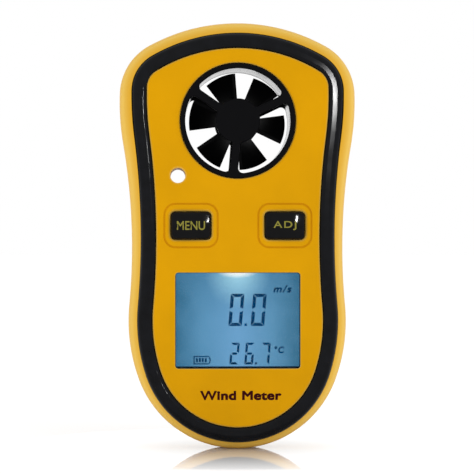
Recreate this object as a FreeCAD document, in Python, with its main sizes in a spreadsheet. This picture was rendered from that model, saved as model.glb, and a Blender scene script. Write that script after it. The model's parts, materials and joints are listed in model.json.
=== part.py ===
"""Handheld vane anemometer: a two-shell case with rubber bands, a ducted impeller, two keys and a display.

Frame: +Z runs up the case from its lowest point, the display side faces -Y, and X = 0 is the plane of
symmetry. Lengths are millimetres. A level is a Y coordinate, so the front of the case has negative levels.
"""
import FreeCAD, Part
import math
import os
import re

import Sketcher

V = FreeCAD.Vector
doc = FreeCAD.newDocument("weather_meter")
sheet = doc.addObject("Spreadsheet::Sheet", "Sizes")
SUBPARTS = []

DIMENSIONS = {
    # outline of the case, a chain of tangent arcs from the crown round to the base
    "case_top": 105.0,
    "case_base": 0.0,
    "case_crown_radius": 45.5,
    "case_shoulder_radius": 13.9,
    "case_head_radius": 62.0,
    "case_waist_radius": 150.0,
    "case_lobe_radius": 41.7,
    "case_base_radius": 25.9,
    "case_head_half_width": 29.1,
    "case_head_height": 85.5,
    "case_lobe_half_width": 26.9,
    # outline of the rubber band's outer edge, the same kind of chain
    "band_top": 102.3,
    "band_base": 1.75,
    "band_crown_radius": 42.3,
    "band_shoulder_radius": 9.9,
    "band_head_radius": 80.0,
    "band_waist_radius": 190.0,
    "band_lobe_radius": 43.3,
    "band_base_radius": 23.7,
    "band_head_half_width": 26.1,
    "band_head_height": 87.0,
    "band_lobe_half_width": 24.7,
    "band_width": 3.8,
    "band_outer_round": 1.8,
    "band_inner_round": 1.0,
    "face_corner_radius": 4.4,
    # rounded edges of the front face, longest edge first
    "face_edge_round": 0.45,
    "window_edge_round": 0.2,
    "fan_edge_round": 0.35,
    "key_hole_round": 0.8,
    "lanyard_edge_round": 0.5,
    # rounded edges of the back panel: its outline with the fan and door holes, and its small holes
    "panel_edge_round": 0.4,
    "panel_hole_round": 0.3,
    # levels and walls of the two shells
    "front_crown": 9.0,
    "face_dome_radius": 300.0,
    "back_face": 9.2,
    "case_round": 5.5,
    "parting_gap": 0.16,
    "wall": 2.0,
    "face_wall": 1.9,
    "side_cavity_depth": 4.6,
    "front_channel_floor": 6.6,
    "rear_channel_floor": 6.9,
    "front_band_crest": 9.35,
    "rear_band_crest": 9.05,
    "channel_rib": 0.9,
    "tongue_inset": 1.05,
    "tongue_width": 0.9,
    "tongue_height": 0.9,
    "fit_gap": 0.1,
    # fan: duct, guards, impeller
    "fan_height": 80.7,
    "duct_radius": 12.9,
    "sleeve_radius": 13.6,
    "guard_radius": 14.1,
    "fan_boss_radius": 15.6,
    "guard_front": 9.35,
    "guard_seat": 7.4,
    "rear_guard_shift": 0.25,
    "spoke_depth": 1.2,
    "spoke_width": 2.0,
    "spoke_angle": 25.5,
    "guard_hub_radius": 5.45,
    "guard_boss_radius": 2.6,
    "guard_boss_depth": 1.0,
    "spoke_outer_round": 1.2,
    "spoke_inner_round": 0.5,
    "guard_edge_round": 0.4,
    "bearing_radius": 1.4,
    "bearing_length": 2.0,
    "bearing_bore": 0.63,
    "bearing_bore_depth": 1.5,
    "shaft_radius": 0.6,
    "shaft_end_gap": 0.15,
    "impeller_hub_radius": 4.8,
    "impeller_hub_half": 3.5,
    "impeller_radius": 11.95,
    "blade_half_height": 3.0,
    "blade_twist": 33.0,
    "blade_thickness": 0.8,
    "blade_angle": 111.0,
    "magnet_radius": 1.0,
    "magnet_length": 2.0,
    "magnet_circle": 3.0,
    # lanyard hole
    "lanyard_offset": 14.7,
    "lanyard_height": 67.3,
    "lanyard_radius": 1.85,
    "lanyard_boss_radius": 3.0,
    # keys and the switches under them
    "key_offset": 11.5,
    "key_height": 55.0,
    "key_width": 9.6,
    "key_tall": 6.5,
    "key_corner": 1.1,
    "key_front": 9.75,
    "key_crown_radius": 32.0,
    "key_edge_round": 0.55,
    "key_gap": 0.18,
    "key_flange": 0.75,
    "key_flange_front": 7.0,
    "key_flange_back": 6.2,
    "key_pad_width": 13.5,
    "key_pad_tall": 11.1,
    "key_pad_corner": 3.0,
    "key_groove_width": 0.45,
    "key_groove_depth": 0.3,
    "switch_side": 6.0,
    "switch_front": 5.2,
    "stem_front": 6.0,
    "stem_back": 4.4,
    "stem_radius": 1.55,
    "stem_bore": 1.65,
    "stem_bore_floor": 3.7,
    # window and display stack
    "window_height": 31.7,
    "window_width": 30.7,
    "window_tall": 23.6,
    "window_corner": 0.8,
    "window_front": 8.1,
    "window_flange": 1.15,
    "window_flange_back": 6.1,
    "adhesive_depth": 0.1,
    "adhesive_border": 0.9,
    "gasket_back": 5.5,
    "gasket_border": 1.0,
    "glass_width": 32.0,
    "glass_top": 45.1,
    "glass_base": 17.6,
    "rear_glass_base": 19.9,
    "polariser_depth": 0.15,
    "glass_depth": 0.5,
    "guide_depth": 1.4,
    "holder_border": 1.1,
    "holder_corner": 2.0,
    "holder_gap": 0.2,
    "led_width": 3.0,
    "led_tall": 0.8,
    "zebra_width": 29.0,
    # circuit board
    "board_front": 2.6,
    "board_back": 1.6,
    "board_inset": 3.4,
    "board_top": 64.6,
    "board_shoulder": 62.9,
    "board_tongue_left": 10.5,
    # chips on the board, each with its depth and its place
    "chip_height": 52.0,
    "chip_side": 9.0,
    "chip_depth": 1.3,
    "chip_leg_pitch": 0.95,
    "chip_leg_width": 0.36,
    "chip_leg_length": 1.2,
    "chip_leg_depth": 0.25,
    "chip_leg_offset": 5.0,
    "crystal_offset": 9.5,
    "crystal_height": 57.0,
    "crystal_radius": 1.0,
    "crystal_length": 6.0,
    "crystal_round": 0.3,
    "capacitor_length": 2.0,
    "capacitor_width": 1.25,
    "capacitor_depth": 0.8,
    "sensor_offset": 5.55,
    "sensor_height": 63.15,
    "sensor_width": 2.7,
    "sensor_tall": 1.5,
    "sensor_depth": 1.1,
    "sensor_leg_width": 0.4,
    "sensor_leg_tall": 0.8,
    "sensor_leg_depth": 0.2,
    "sensor_leg_offset": 0.85,
    # fasteners
    "case_screw_top_offset": 17.2,
    "case_screw_top_height": 90.6,
    "case_screw_base_offset": 8.5,
    "case_screw_base_height": 12.0,
    "case_boss_radius": 2.6,
    "case_screw_radius": 1.0,
    "case_screw_tip": 5.0,
    "case_screw_clearance": 1.25,
    "case_screw_seat": 5.2,
    "case_screw_head_radius": 2.0,
    "case_screw_head_depth": 1.4,
    "case_counterbore": 2.3,
    "board_screw_side_offset": 20.6,
    "board_screw_side_height": 49.5,
    "board_screw_base_height": 11.0,
    "board_boss_radius": 1.9,
    "board_screw_radius": 0.7,
    "board_screw_tip": 4.9,
    "board_screw_head_radius": 1.5,
    "board_screw_head_depth": 1.0,
    "cross_slot_width": 0.45,
    "cross_slot_depth": 0.7,
    # battery, its door and contacts
    "cell_height": 30.0,
    "cell_radius": 10.0,
    "cell_back": 6.2,
    "cell_depth": 3.2,
    "cell_cap_radius": 8.9,
    "cell_cap_depth": 0.5,
    "pocket_radius": 10.2,
    "pocket_wall_radius": 11.3,
    "pocket_floor": 1.6,
    "pocket_floor_depth": 0.8,
    "pocket_window_radius": 6.5,
    "door_radius": 12.75,
    "door_seat": 7.95,
    "door_neck_radius": 11.3,
    "door_inner": 6.3,
    "lug_radius": 12.6,
    "lug_back": 7.0,
    "lug_angle": 24.0,
    "notch_angle": 30.0,
    "door_twist": 50.0,
    "door_well_radius": 13.05,
    "lip_radius": 11.6,
    "lip_front": 7.1,
    "lip_back": 7.9,
    "undercut_radius": 12.9,
    "undercut_floor": 6.2,
    "door_cup_radius": 14.1,
    "door_cup_floor": 5.2,
    "seal_radius": 12.15,
    "seal_section": 0.33,
    "seal_groove_half": 0.36,
    "seal_groove_top": 8.6,
    "coin_slot_length": 13.0,
    "coin_slot_width": 1.8,
    "coin_slot_depth": 1.0,
    "contact_depth": 0.25,
    "contact_half": 2.0,
    "stand_half": 1.5,
    "clip_slot_inner": 9.0,
    "clip_slot_outer": 12.0,
    "clip_slot_front": 2.8,
    "clip_slot_back": 5.3,
    "clip_slot_half": 2.2,
    # temperature bead and speed sensor
    "bead_radius": 0.8,
    "bead_level": 1.35,
    "bead_drop": 13.2,
    "bead_hole": 1.0,
    "bead_slot_half": 1.1,
    "bead_slot_front": 2.5,
    "bead_slot_base": 64.8,
    "bead_slot_top": 68.5,
    "lead_radius": 0.14,
    "lead_offset": 0.4,
    "lead_level": 1.4,
    "lead_foot": 61.2,
}


def fill_sheet():
    for row, (alias, number) in enumerate(DIMENSIONS.items(), 1):
        sheet.set(f"A{row}", alias)
        sheet.set(f"B{row}", str(number))
        sheet.setAlias(f"B{row}", alias)
    doc.recompute()


def bound(formula):
    """A formula in aliases, written the way setExpression needs it."""
    def qualified(word):
        return "Sizes." + word[0] if word[0] in DIMENSIONS else word[0]

    return re.sub(r"[a-z_]{3,}", qualified, formula)


def size(formula):
    """The number that a formula in aliases gives."""
    return float(sheet.evalExpression(bound(formula)))


# ---------------------------------------------------------------- PartDesign helpers


def new_body(label, x="0", y="0", z="0"):
    made = doc.addObject("PartDesign::Body", label)
    made.Label = label
    for axis, place in zip("xyz", (x, y, z)):
        made.setExpression(f"Placement.Base.{axis}", bound(place))
    SUBPARTS.append(made)
    return made


def new_sketch(owner, role, level="0"):
    """A sketch on one of the body's origin planes, moved along that plane's normal by level."""
    made = owner.newObject("Sketcher::SketchObject", owner.Label + "_sketch")
    plane = [feature for feature in owner.Origin.OriginFeatures if feature.Role == role][0]
    made.AttachmentSupport = [(plane, "")]
    made.MapMode = "FlatFace"
    made.setExpression("AttachmentOffset.Base.z", bound(level))
    return made


def hold(sketch, kind, first, point, formula):
    """Ties one coordinate of a sketch point to a formula."""
    constraint = sketch.addConstraint(Sketcher.Constraint(kind, -1, 1, first, point, size(formula)))
    sketch.setExpression(f"Constraints[{constraint}]", bound(formula))


def add_polygon(sketch, corners):
    """A closed outline of straight edges; each corner is two formulas."""
    points = [V(size(across), size(along), 0) for across, along in corners]
    first = sketch.GeometryCount
    count = len(points)
    for number in range(count):
        sketch.addGeometry(Part.LineSegment(points[number], points[(number + 1) % count]))
    for number in range(count):
        after = first + (number + 1) % count
        sketch.addConstraint(Sketcher.Constraint("Coincident", first + number, 2, after, 1))
    for number, (across, along) in enumerate(corners):
        hold(sketch, "DistanceX", first + number, 1, across)
        hold(sketch, "DistanceY", first + number, 1, along)


def add_circle(sketch, radius, x="0", z="0"):
    circle = sketch.addGeometry(Part.Circle(V(size(x), size(z), 0), V(0, 0, 1), size(radius)))
    constraint = sketch.addConstraint(Sketcher.Constraint("Radius", circle, size(radius)))
    sketch.setExpression(f"Constraints[{constraint}]", bound(radius))
    hold(sketch, "DistanceX", circle, 3, x)
    hold(sketch, "DistanceY", circle, 3, z)


def add_rectangle(sketch, width, tall, x="0", z="0"):
    corners = [(f"({x}) + {sx} * ({width}) / 2", f"({z}) + {sz} * ({tall}) / 2")
               for sx, sz in ((-1, -1), (1, -1), (1, 1), (-1, 1))]
    add_polygon(sketch, corners)


def feature(owner, kind, sketch, **formulas):
    made = owner.newObject("PartDesign::" + kind, owner.Label + "_" + kind.lower())
    made.Profile = sketch
    for name, formula in formulas.items():
        made.setExpression(name, bound(formula))
    return made


def revolve(owner, corners):
    """Turns a profile of (radius, level) corners about the body's Y axis."""
    sketch = new_sketch(owner, "XY_Plane")
    add_polygon(sketch, corners)
    made = feature(owner, "Revolution", sketch)
    made.ReferenceAxis = (sketch, ["V_Axis"])
    made.Angle = 360


def round_corners(owner, radius, chosen):
    """A PartDesign fillet on the edges of the body's tip that chosen() accepts."""
    doc.recompute()
    tip = owner.Tip
    names = [f"Edge{number}" for number, edge in enumerate(tip.Shape.Edges, 1) if chosen(edge)]
    made = owner.newObject("PartDesign::Fillet", owner.Label + "_fillet")
    made.Base = (tip, names)
    made.setExpression("Radius", bound(radius))
    return made


def runs_along_y(edge):
    if not isinstance(edge.Curve, Part.Line):
        return False
    return abs(abs(edge.tangentAt(edge.FirstParameter).y) - 1) < 1e-6


def plate(label, width, tall, front, back, z, corner=None, hollow=None):
    """A flat plate facing -Y between two depths, with an optional rectangular opening (width, tall, z)."""
    made = new_body(label)
    sketch = new_sketch(made, "XZ_Plane", back)
    add_rectangle(sketch, width, tall, z=z)
    feature(made, "Pad", sketch, Length=f"({front}) - ({back})")
    if corner:
        round_corners(made, corner, runs_along_y)
    if hollow:
        doc.recompute()
        opening = new_sketch(made, "XZ_Plane", front)
        add_rectangle(opening, hollow[0], hollow[1], z=hollow[2])
        feature(made, "Pocket", opening, Length=f"({front}) - ({back})")
    return made


# ---------------------------------------------------------------- Part primitives, bound to the sheet


ALONG_Y = FreeCAD.Rotation(V(1, 0, 0), -90)


def primitive(kind, label, place, turn=FreeCAD.Rotation(), **formulas):
    """A Part box, cylinder, sphere or torus; its place and its sizes are formulas."""
    made = doc.addObject("Part::" + kind, label)
    made.Label = label
    made.Placement = FreeCAD.Placement(V(), turn)
    for axis, formula in zip("xyz", place):
        made.setExpression(f"Placement.Base.{axis}", bound(formula))
    for name, formula in formulas.items():
        made.setExpression(name, bound(formula))
    return made


def on_board(label, x, z, wide, tall, deep):
    """A box centred on (x, z) that stands on the back of the circuit board."""
    corner = (f"{x} - ({wide}) / 2", "-board_back", f"{z} - ({tall}) / 2")
    return primitive("Box", label, corner, Length=wide, Width=deep, Height=tall)


def fused(label, pieces):
    made = doc.addObject("Part::MultiFuse", label)
    made.Label = label
    made.Shapes = pieces
    SUBPARTS.append(made)


def loose(label, pieces):
    """Identical separate pieces that share one node."""
    made = doc.addObject("Part::Compound", label)
    made.Label = label
    made.Links = pieces
    SUBPARTS.append(made)


# ---------------------------------------------------------------- outlines made of tangent arcs


def meeting(centre, reach, other, other_reach):
    """Where two circles meet, on the +X side; centres are (x, z)."""
    along = math.dist(centre, other)
    ahead = (reach**2 - other_reach**2 + along**2) / (2 * along)
    aside = math.sqrt(reach**2 - ahead**2)
    ux, uz = (other[0] - centre[0]) / along, (other[1] - centre[1]) / along
    return max((centre[0] + ahead * ux - side * aside * uz, centre[1] + ahead * uz + side * aside * ux)
               for side in (-1, 1))


def outline(kind, inset=0.0, shoulder=None):
    """The closed wire of the case or band outline at level 0, moved inwards by inset."""
    get = lambda name: size(f"{kind}_{name}")
    crown_r, head_r, waist_r = get("crown_radius"), get("head_radius"), get("waist_radius")
    lobe_r, base_r = get("lobe_radius"), get("base_radius")
    shoulder_r = shoulder or get("shoulder_radius")
    crown = (0.0, get("top") - crown_r)
    head = (get("head_half_width") - head_r, get("head_height"))
    base = (0.0, get("base") + base_r)
    sideways = get("lobe_half_width") - lobe_r
    lobe = (sideways, base[1] + math.sqrt((lobe_r - base_r) ** 2 - sideways**2))
    corner = meeting(crown, crown_r - shoulder_r, head, head_r - shoulder_r)
    waist = meeting(head, head_r + waist_r, lobe, lobe_r + waist_r)

    def bearing(start, end):
        return math.atan2(end[1] - start[1], end[0] - start[0])

    def point(centre, radius, angle, side):
        return V(side * (centre[0] + radius * math.cos(angle)), 0, centre[1] + radius * math.sin(angle))

    def arc(centre, radius, start, end, side):
        angles = (start, (start + end) / 2, end)
        return Part.Arc(*[point(centre, radius, angle, side) for angle in angles]).toShape()

    crown_end, shoulder_end = bearing(crown, corner), bearing(head, corner)
    head_end, lobe_start, lobe_end = bearing(head, waist), bearing(lobe, waist), bearing(lobe, base)
    side_arcs = [
        (corner, shoulder_r - inset, crown_end, shoulder_end),
        (head, head_r - inset, shoulder_end, head_end),
        (waist, waist_r + inset, head_end + math.pi, lobe_start + math.pi),
        (lobe, lobe_r - inset, lobe_start, lobe_end),
    ]
    edges = [arc(crown, crown_r - inset, math.pi - crown_end, crown_end, 1)]
    edges += [arc(*piece, 1) for piece in side_arcs]
    edges += [arc(base, base_r - inset, lobe_end, -math.pi - lobe_end, 1)]
    edges += [arc(centre, radius, end, start, -1) for centre, radius, start, end in reversed(side_arcs)]
    return Part.Wire(edges)


def prism(wire, start, end):
    """The solid between two levels with that outline."""
    face = Part.Face(wire)
    face.translate(V(0, start, 0))
    return face.extrude(V(0, end - start, 0))


def case_prism(inset, start, end):
    return prism(outline("case", inset), start, end)


def face_prism(inset, start, end):
    """The prism inside the band, whose upper corners are tighter than the band's own."""
    width = size("band_width")
    return prism(outline("band", width + inset, size("face_corner_radius") + width), start, end)


def ring_of(outer, inner):
    return outer.cut(inner)


def dome(crown):
    """A block behind a face that is curved across X, with its crown at that level."""
    radius, half, back, low, high = size("face_dome_radius"), 45.0, 20.0, -10.0, 125.0
    edge = crown + radius - math.sqrt(radius**2 - half**2)
    front = Part.Arc(V(-half, edge, low), V(0, crown, low), V(half, edge, low)).toShape()
    corners = ((half, edge), (half, back), (-half, back), (-half, edge))
    rest = Part.makePolygon([V(x, level, low) for x, level in corners])
    return Part.Face(Part.Wire([front] + rest.Edges)).extrude(V(0, 0, high - low))


def cylinder(radius, start, end, x=0.0, z=0.0):
    return Part.makeCylinder(radius, end - start, V(x, start, z), V(0, 1, 0))


def block(x, y, z):
    """A box from three (low, high) pairs."""
    return Part.makeBox(x[1] - x[0], y[1] - y[0], z[1] - z[0], V(x[0], y[0], z[0]))


def rounded_block(width, tall, corner, start, end, x=0.0, z=0.0):
    made = block((x - width / 2, x + width / 2), (start, end), (z - tall / 2, z + tall / 2))
    return made.makeFillet(corner, [edge for edge in made.Edges if runs_along_y(edge)])


def wedge(radius, angle, middle, start, end, x=0.0, z=0.0):
    """A cylinder's sector of that angle, centred on the bearing middle; angles in degrees from +X to +Z."""
    half = math.radians(angle / 2)
    at = [V(radius * math.cos(turn), start, radius * math.sin(turn)) for turn in (-half, 0, half)]
    rim = Part.Arc(*at).toShape()
    hub = V(0, start, 0)
    face = Part.Face(Part.Wire([Part.makeLine(hub, at[0]), rim, Part.makeLine(at[2], hub)]))
    made = face.extrude(V(0, end - start, 0))
    made.rotate(V(), V(0, -1, 0), middle)
    made.translate(V(x, 0, z))
    return made


def is_dome(face):
    if not isinstance(face.Surface, Part.Cylinder):
        return False
    return abs(face.Surface.Radius - size("face_dome_radius")) < 1e-6


def front_wires(shape):
    """The wires of the domed front face, longest first."""
    face = max((one for one in shape.Faces if is_dome(one)), key=lambda one: one.Area)
    return sorted(face.Wires, key=lambda wire: -wire.Length)


def add_shape(label, shape, place=V()):
    """A piece that Part's own functions built about its reference point, which goes to that place."""
    made = doc.addObject("Part::Feature", label)
    made.Label = label
    made.Shape = shape
    made.Placement = FreeCAD.Placement(place, FreeCAD.Rotation())
    SUBPARTS.append(made)


def mirrored_pair(x, z):
    return [(-x, z), (x, z)]


# ---------------------------------------------------------------- case


def case_screw_places():
    top = mirrored_pair(size("case_screw_top_offset"), size("case_screw_top_height"))
    return top + mirrored_pair(size("case_screw_base_offset"), size("case_screw_base_height"))


def board_screw_places():
    side = mirrored_pair(size("board_screw_side_offset"), size("board_screw_side_height"))
    return side + [(0.0, size("board_screw_base_height"))]


def key_places():
    return mirrored_pair(size("key_offset"), size("key_height"))


def front_skin():
    """The outside of the front shell, solid behind, with every visible edge rounded."""
    crown, beyond = -size("front_crown"), -20.0
    skin = case_prism(0, -size("parting_gap") / 2, beyond).common(dome(crown))
    skin = skin.makeFillet(size("case_round"), front_wires(skin)[0].Edges)
    floor = -size("front_channel_floor")
    skin = skin.cut(ring_of(prism(outline("band"), floor, beyond), face_prism(0, floor + 1, beyond - 1)))
    fan, boss = size("fan_height"), (-size("lanyard_offset"), size("lanyard_height"))
    skin = skin.cut(cylinder(size("guard_radius + fit_gap"), beyond, -size("guard_seat"), 0, fan))
    skin = skin.cut(cylinder(size("lanyard_radius"), beyond, 1, *boss))
    gap = 2 * size("key_gap")
    for x, z in key_places():
        skin = skin.cut(rounded_block(size("key_width") + gap, size("key_tall") + gap, size("key_corner"),
                                      beyond, 1, x, z))
    skin = skin.cut(rounded_block(size("window_width"), size("window_tall"), size("window_corner"),
                                  beyond, 1, 0, size("window_height")))
    rounds = ("face_edge_round", "window_edge_round", "fan_edge_round", "key_hole_round", "key_hole_round",
              "lanyard_edge_round")
    for number, alias in enumerate(rounds):
        skin = skin.makeFillet(size(alias), front_wires(skin)[number].Edges)
    return skin.cut(key_grooves(crown, beyond))


def key_grooves(crown, beyond):
    """Shallow grooves that outline the pad round each key and follow the domed face."""
    width, tall, corner = size("key_pad_width"), size("key_pad_tall"), size("key_pad_corner")
    line = size("key_groove_width")
    rings = []
    for x, z in key_places():
        outer = rounded_block(width, tall, corner, beyond, crown + 3, x, z)
        inner = rounded_block(width - 2 * line, tall - 2 * line, corner - line, beyond, crown + 3, x, z)
        rings.append(outer.cut(inner))
    return rings[0].fuse(rings[1]).cut(dome(crown + size("key_groove_depth")))


def make_front_shell():
    joint, deep = -size("parting_gap") / 2, -size("side_cavity_depth")
    shallow = -size("front_crown - face_wall")
    cavity = case_prism(size("wall"), 1, deep).fuse(face_prism(size("channel_rib"), deep + 0.5, shallow))
    fan, lanyard = size("fan_height"), (-size("lanyard_offset"), size("lanyard_height"))
    into = shallow - 0.5
    bosses = [cylinder(size("fan_boss_radius"), into, joint, 0, fan),
              cylinder(size("lanyard_boss_radius"), into, joint, *lanyard)]
    bosses += [cylinder(size("case_boss_radius"), into, joint, x, z) for x, z in case_screw_places()]
    bosses += [cylinder(size("board_boss_radius"), into, -size("board_front"), x, z)
               for x, z in board_screw_places()]
    posts = bosses[0].multiFuse(bosses[1:]).common(cavity)
    shell = front_skin().cut(cavity).fuse(posts)
    inset = size("tongue_inset")
    tongue = ring_of(case_prism(inset, joint - 1, size("tongue_height")),
                     case_prism(inset + size("tongue_width"), joint - 2, size("tongue_height") + 1))
    bead_slot = block((-size("bead_slot_half"), size("bead_slot_half")), (-size("bead_slot_front"), 1),
                      (size("bead_slot_base"), size("bead_slot_top")))
    holes = [cylinder(size("sleeve_radius + fit_gap"), -size("guard_seat") - 0.01, 1, 0, fan),
             cylinder(size("lanyard_radius"), shallow - 0.9, 1, *lanyard), bead_slot]
    for kind, places in (("case_screw", case_screw_places()), ("board_screw", board_screw_places())):
        holes += [cylinder(size(kind + "_radius"), -size(kind + "_tip"), 1, x, z) for x, z in places]
    add_shape("front_shell", shell.fuse(tongue).cut(holes).removeSplitter())


def make_rear_shell():
    joint, back, beyond = size("parting_gap") / 2, size("back_face"), 20.0
    skin = case_prism(0, joint, back)
    skin = skin.makeFillet(size("case_round"), flat_face_at(skin, back).OuterWire.Edges)
    floor = size("rear_channel_floor")
    skin = skin.cut(ring_of(prism(outline("band"), floor, beyond), face_prism(0, floor - 1, beyond + 1)))
    fan, lanyard = size("fan_height"), (-size("lanyard_offset"), size("lanyard_height"))
    cell = size("cell_height")
    seat = size("guard_seat - rear_guard_shift")
    skin = skin.cut(cylinder(size("guard_radius + fit_gap"), seat, beyond, 0, fan))
    skin = skin.cut(cylinder(size("lanyard_radius"), -1, beyond, *lanyard))
    skin = skin.cut(cylinder(size("door_well_radius"), size("lip_back"), beyond, 0, cell))
    for x, z in case_screw_places():
        skin = skin.cut(cylinder(size("case_counterbore"), size("case_screw_seat"), beyond, x, z))
    panel = sorted(flat_face_at(skin, back).Wires, key=lambda wire: -wire.Length)
    skin = skin.makeFillet(size("panel_edge_round"), [edge for wire in panel[:3] for edge in wire.Edges])
    panel = sorted(flat_face_at(skin, back).Wires, key=lambda wire: -wire.Length)
    skin = skin.makeFillet(size("panel_hole_round"), [edge for wire in panel[3:] for edge in wire.Edges])

    deep, shallow = size("side_cavity_depth + 0.3"), back - size("wall") + 0.2
    cavity = case_prism(size("wall"), -1, deep).fuse(face_prism(size("channel_rib"), deep - 0.5, shallow))
    into = shallow + 0.3
    bosses = [cylinder(size("fan_boss_radius"), joint, into, 0, fan),
              cylinder(size("lanyard_boss_radius"), joint, into, *lanyard),
              cylinder(size("door_cup_radius"), size("door_cup_floor"), into, 0, cell),
              cylinder(size("pocket_wall_radius"), size("pocket_floor"), into, 0, cell)]
    bosses += [cylinder(size("case_counterbore + 1"), size("case_screw_seat - 1.2"), into, x, z)
               for x, z in case_screw_places()]
    bosses += [cylinder(size("case_boss_radius"), joint, into, x, z) for x, z in case_screw_places()]
    shell = skin.cut(cavity).fuse(bosses[0].multiFuse(bosses[1:]).common(cavity))

    inset = size("tongue_inset - fit_gap")
    rebate = ring_of(case_prism(inset, -1, size("tongue_height + fit_gap")), case_prism(6.0, -2, 3))
    rebate = rebate.common(ring_of(case_prism(inset, -1, 2), case_prism(size("wall") + 0.05, -2, 3)))
    floor_window = cylinder(size("pocket_window_radius"), 0, 5, 0, cell)
    pocket = cylinder(size("pocket_radius"), size("pocket_floor + pocket_floor_depth"), beyond, 0, cell)
    undercut = cylinder(size("undercut_radius"), size("undercut_floor"), size("lip_front"), 0, cell)
    throat = cylinder(size("lip_radius"), size("undercut_floor"), beyond, 0, cell)
    notches = [wedge(size("undercut_radius"), size("notch_angle"), 90 + 120 * turn - size("door_twist"),
                     size("undercut_floor"), size("lip_back") + 0.01, 0, cell) for turn in range(3)]
    reach = size("clip_slot_half")
    clip_slot = block((size("clip_slot_inner"), size("clip_slot_outer")),
                      (size("clip_slot_front"), size("clip_slot_back")), (cell - reach, cell + reach))
    past = into + 0.8
    holes = [rebate, floor_window, pocket, undercut, throat, clip_slot, *notches,
             cylinder(size("sleeve_radius + fit_gap"), -1, seat + 0.01, 0, fan),
             cylinder(size("guard_radius + fit_gap"), seat, past, 0, fan),
             cylinder(size("lanyard_radius"), -1, past, *lanyard),
             cylinder(size("door_well_radius"), size("lip_back"), past, 0, cell)]
    for x, z in case_screw_places():
        holes.append(cylinder(size("case_screw_clearance"), -1, size("case_screw_seat") + 1, x, z))
        holes.append(cylinder(size("case_counterbore"), size("case_screw_seat"), past, x, z))
    add_shape("rear_shell", shell.cut(holes).removeSplitter())


def flat_face_at(shape, level):
    faces = [face for face in shape.Faces if isinstance(face.Surface, Part.Plane)
             and abs(face.CenterOfMass.y - level) < 1e-6]
    return max(faces, key=lambda face: face.Area)


def make_bands():
    """The two rubber beads that sit in the shells' channels, with their crest nearer to the inner edge."""
    rounds = (size("band_outer_round"), size("band_inner_round"))
    floor, crest, beyond = -size("front_channel_floor"), -size("front_band_crest"), -20
    front = ring_of(prism(outline("band"), floor, beyond),
                    prism(outline("band", size("band_width")), floor + 5, beyond - 5)).common(dome(crest))
    for number, radius in enumerate(rounds):
        front = front.makeFillet(radius, front_wires(front)[number].Edges)
    channel = ring_of(prism(outline("band"), floor, beyond), face_prism(0, floor + 5, beyond - 5))
    add_shape("front_band", front.common(channel).removeSplitter())

    floor, crest, beyond = size("rear_channel_floor"), size("rear_band_crest"), 20
    rear = ring_of(prism(outline("band"), floor, crest),
                   prism(outline("band", size("band_width")), floor - 5, crest + 5))
    for number, radius in enumerate(rounds):
        wires = sorted(flat_face_at(rear, crest).Wires, key=lambda wire: -wire.Length)
        rear = rear.makeFillet(radius, wires[number].Edges)
    channel = ring_of(prism(outline("band"), floor, beyond), face_prism(0, floor - 5, beyond + 5))
    add_shape("rear_band", rear.common(channel).removeSplitter())


# ---------------------------------------------------------------- fan


def make_guards():
    front = new_body("front_guard", z="fan_height")
    disc = new_sketch(front, "XZ_Plane", "guard_seat")
    add_circle(disc, "guard_radius")
    feature(front, "Pad", disc, Length="guard_front - guard_seat")
    doc.recompute()
    opening = new_sketch(front, "XZ_Plane", "guard_front")
    add_sector(opening)
    cut = feature(front, "Pocket", opening, Length="guard_front - guard_seat + 1")
    doc.recompute()
    pattern = front.newObject("PartDesign::PolarPattern", "front_guard_pattern")
    pattern.Originals = [cut]
    pattern.Axis = (opening, ["N_Axis"])
    pattern.Angle = 360
    pattern.Occurrences = 3
    front.Tip = pattern
    doc.recompute()
    outer, inner = size("duct_radius"), size("guard_hub_radius")
    round_corners(front, "spoke_outer_round", lambda edge: at_radius(edge, outer))
    round_corners(front, "spoke_inner_round", lambda edge: at_radius(edge, inner))
    doc.recompute()
    relief = new_sketch(front, "XZ_Plane", "guard_front - spoke_depth")
    add_circle(relief, "duct_radius")
    add_circle(relief, "guard_hub_radius - 0.3")
    feature(front, "Pocket", relief, Length="guard_front - spoke_depth - guard_seat + 1")
    doc.recompute()
    front_level = -size("guard_front")
    round_corners(front, "guard_edge_round", lambda edge: lies_at(edge, front_level))
    boss = new_sketch(front, "XZ_Plane", "guard_seat - guard_boss_depth")
    add_circle(boss, "guard_boss_radius")
    feature(front, "Pad", boss, Length="guard_boss_depth + 0.5")
    doc.recompute()
    seat = new_sketch(front, "XZ_Plane", "guard_seat - guard_boss_depth + bearing_length")
    add_circle(seat, "bearing_radius")
    feature(front, "Pocket", seat, Length="bearing_length + 1")
    mirror_of(front, "rear_guard")


def add_sector(sketch):
    """The opening between two neighbouring spokes."""
    half = size("spoke_width") / 2
    first = math.radians(size("spoke_angle"))
    arms = (first, first + math.radians(120))
    corners = []
    for radius in (size("guard_hub_radius"), size("duct_radius")):
        swing = math.asin(half / radius)
        corners.append((radius, arms[0] + swing, arms[1] - swing))
    for radius, start, end in corners:
        arc = sketch.addGeometry(Part.ArcOfCircle(Part.Circle(V(), V(0, 0, 1), radius), start, end))
        alias = "guard_hub_radius" if radius == corners[0][0] else "duct_radius"
        constraint = sketch.addConstraint(Sketcher.Constraint("Radius", arc, radius))
        sketch.setExpression(f"Constraints[{constraint}]", bound(alias))
        sketch.addConstraint(Sketcher.Constraint("Coincident", arc, 3, -1, 1))
    for end in (1, 2):
        place = [V(radius * math.cos(turns[end - 1]), radius * math.sin(turns[end - 1]), 0)
                 for radius, *turns in corners]
        line = sketch.addGeometry(Part.LineSegment(*place))
        sketch.addConstraint(Sketcher.Constraint("Coincident", line, 1, 0, end))
        sketch.addConstraint(Sketcher.Constraint("Coincident", line, 2, 1, end))


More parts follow.
